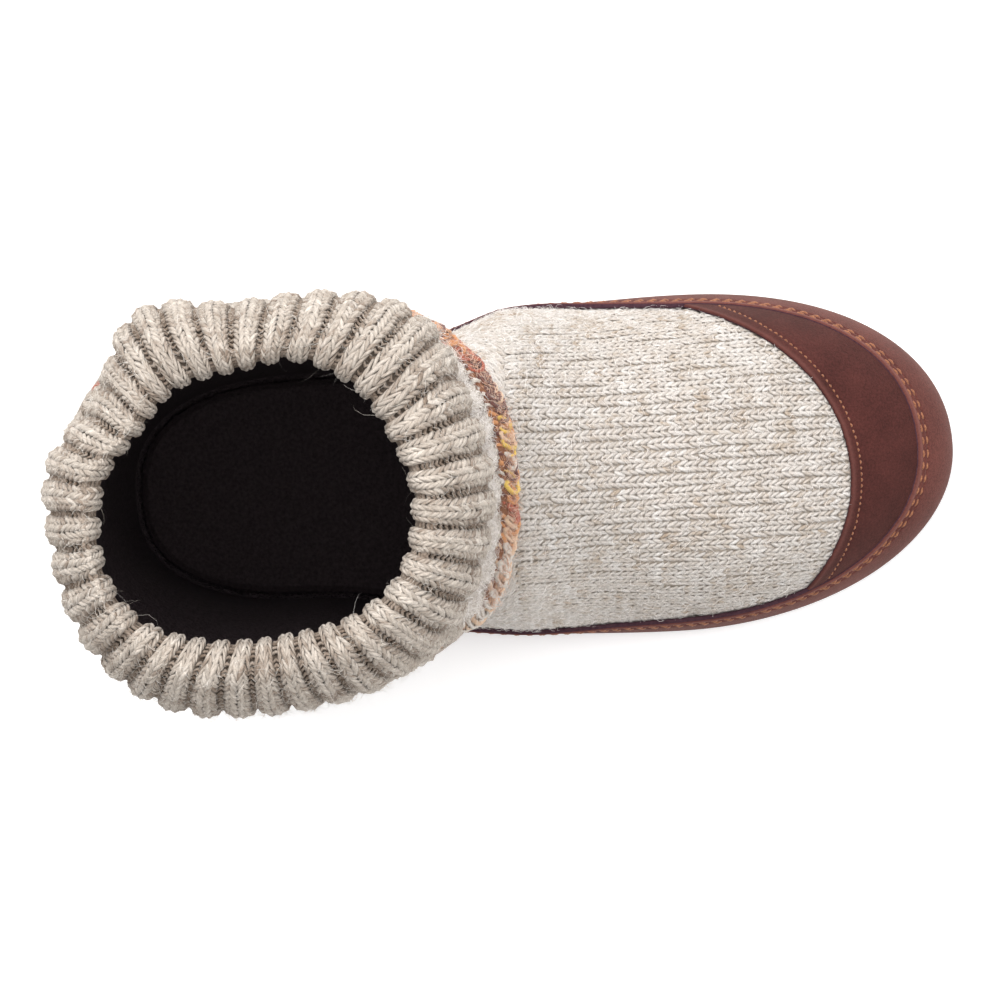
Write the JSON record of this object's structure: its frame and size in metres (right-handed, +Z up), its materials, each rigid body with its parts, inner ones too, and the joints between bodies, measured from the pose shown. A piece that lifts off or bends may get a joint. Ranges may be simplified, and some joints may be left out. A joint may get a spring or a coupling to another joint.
{
  "type": "slouch boot",
  "caption": "Right slouch boot with knitted foot, ribbed turned-in cuff, looped-yarn ankle band, suede toe cap and suede wrap over a thin rubber sole.",
  "frame": {"origin": "under the middle of the bounding box, on the plane that the sole stands on", "axes": "+X towards the toe, +Y towards the inner (medial) side of the foot, +Z up"},
  "size_m": [0.2688, 0.115, 0.216],
  "materials": {
    "rubber": "matte moulded rubber, fine tread",
    "fleece": "near-black brushed fleece",
    "suede": "brown suede with a short nap, brown thread",
    "knit": "oatmeal marled wool, plain knitting",
    "looped_yarn": "looped yarn in peach, orange, red and brown",
    "rib_knit": "grey-beige marled wool, ribbed knitting"
  },
  "bodies": {
    "root": {"outsole": "rubber", "insole": "fleece", "sole_wrap": "suede", "upper": "knit", "toe_cap": "suede", "ankle_band": "looped_yarn", "shaft": "rib_knit"}
  },
  "joints": []
}
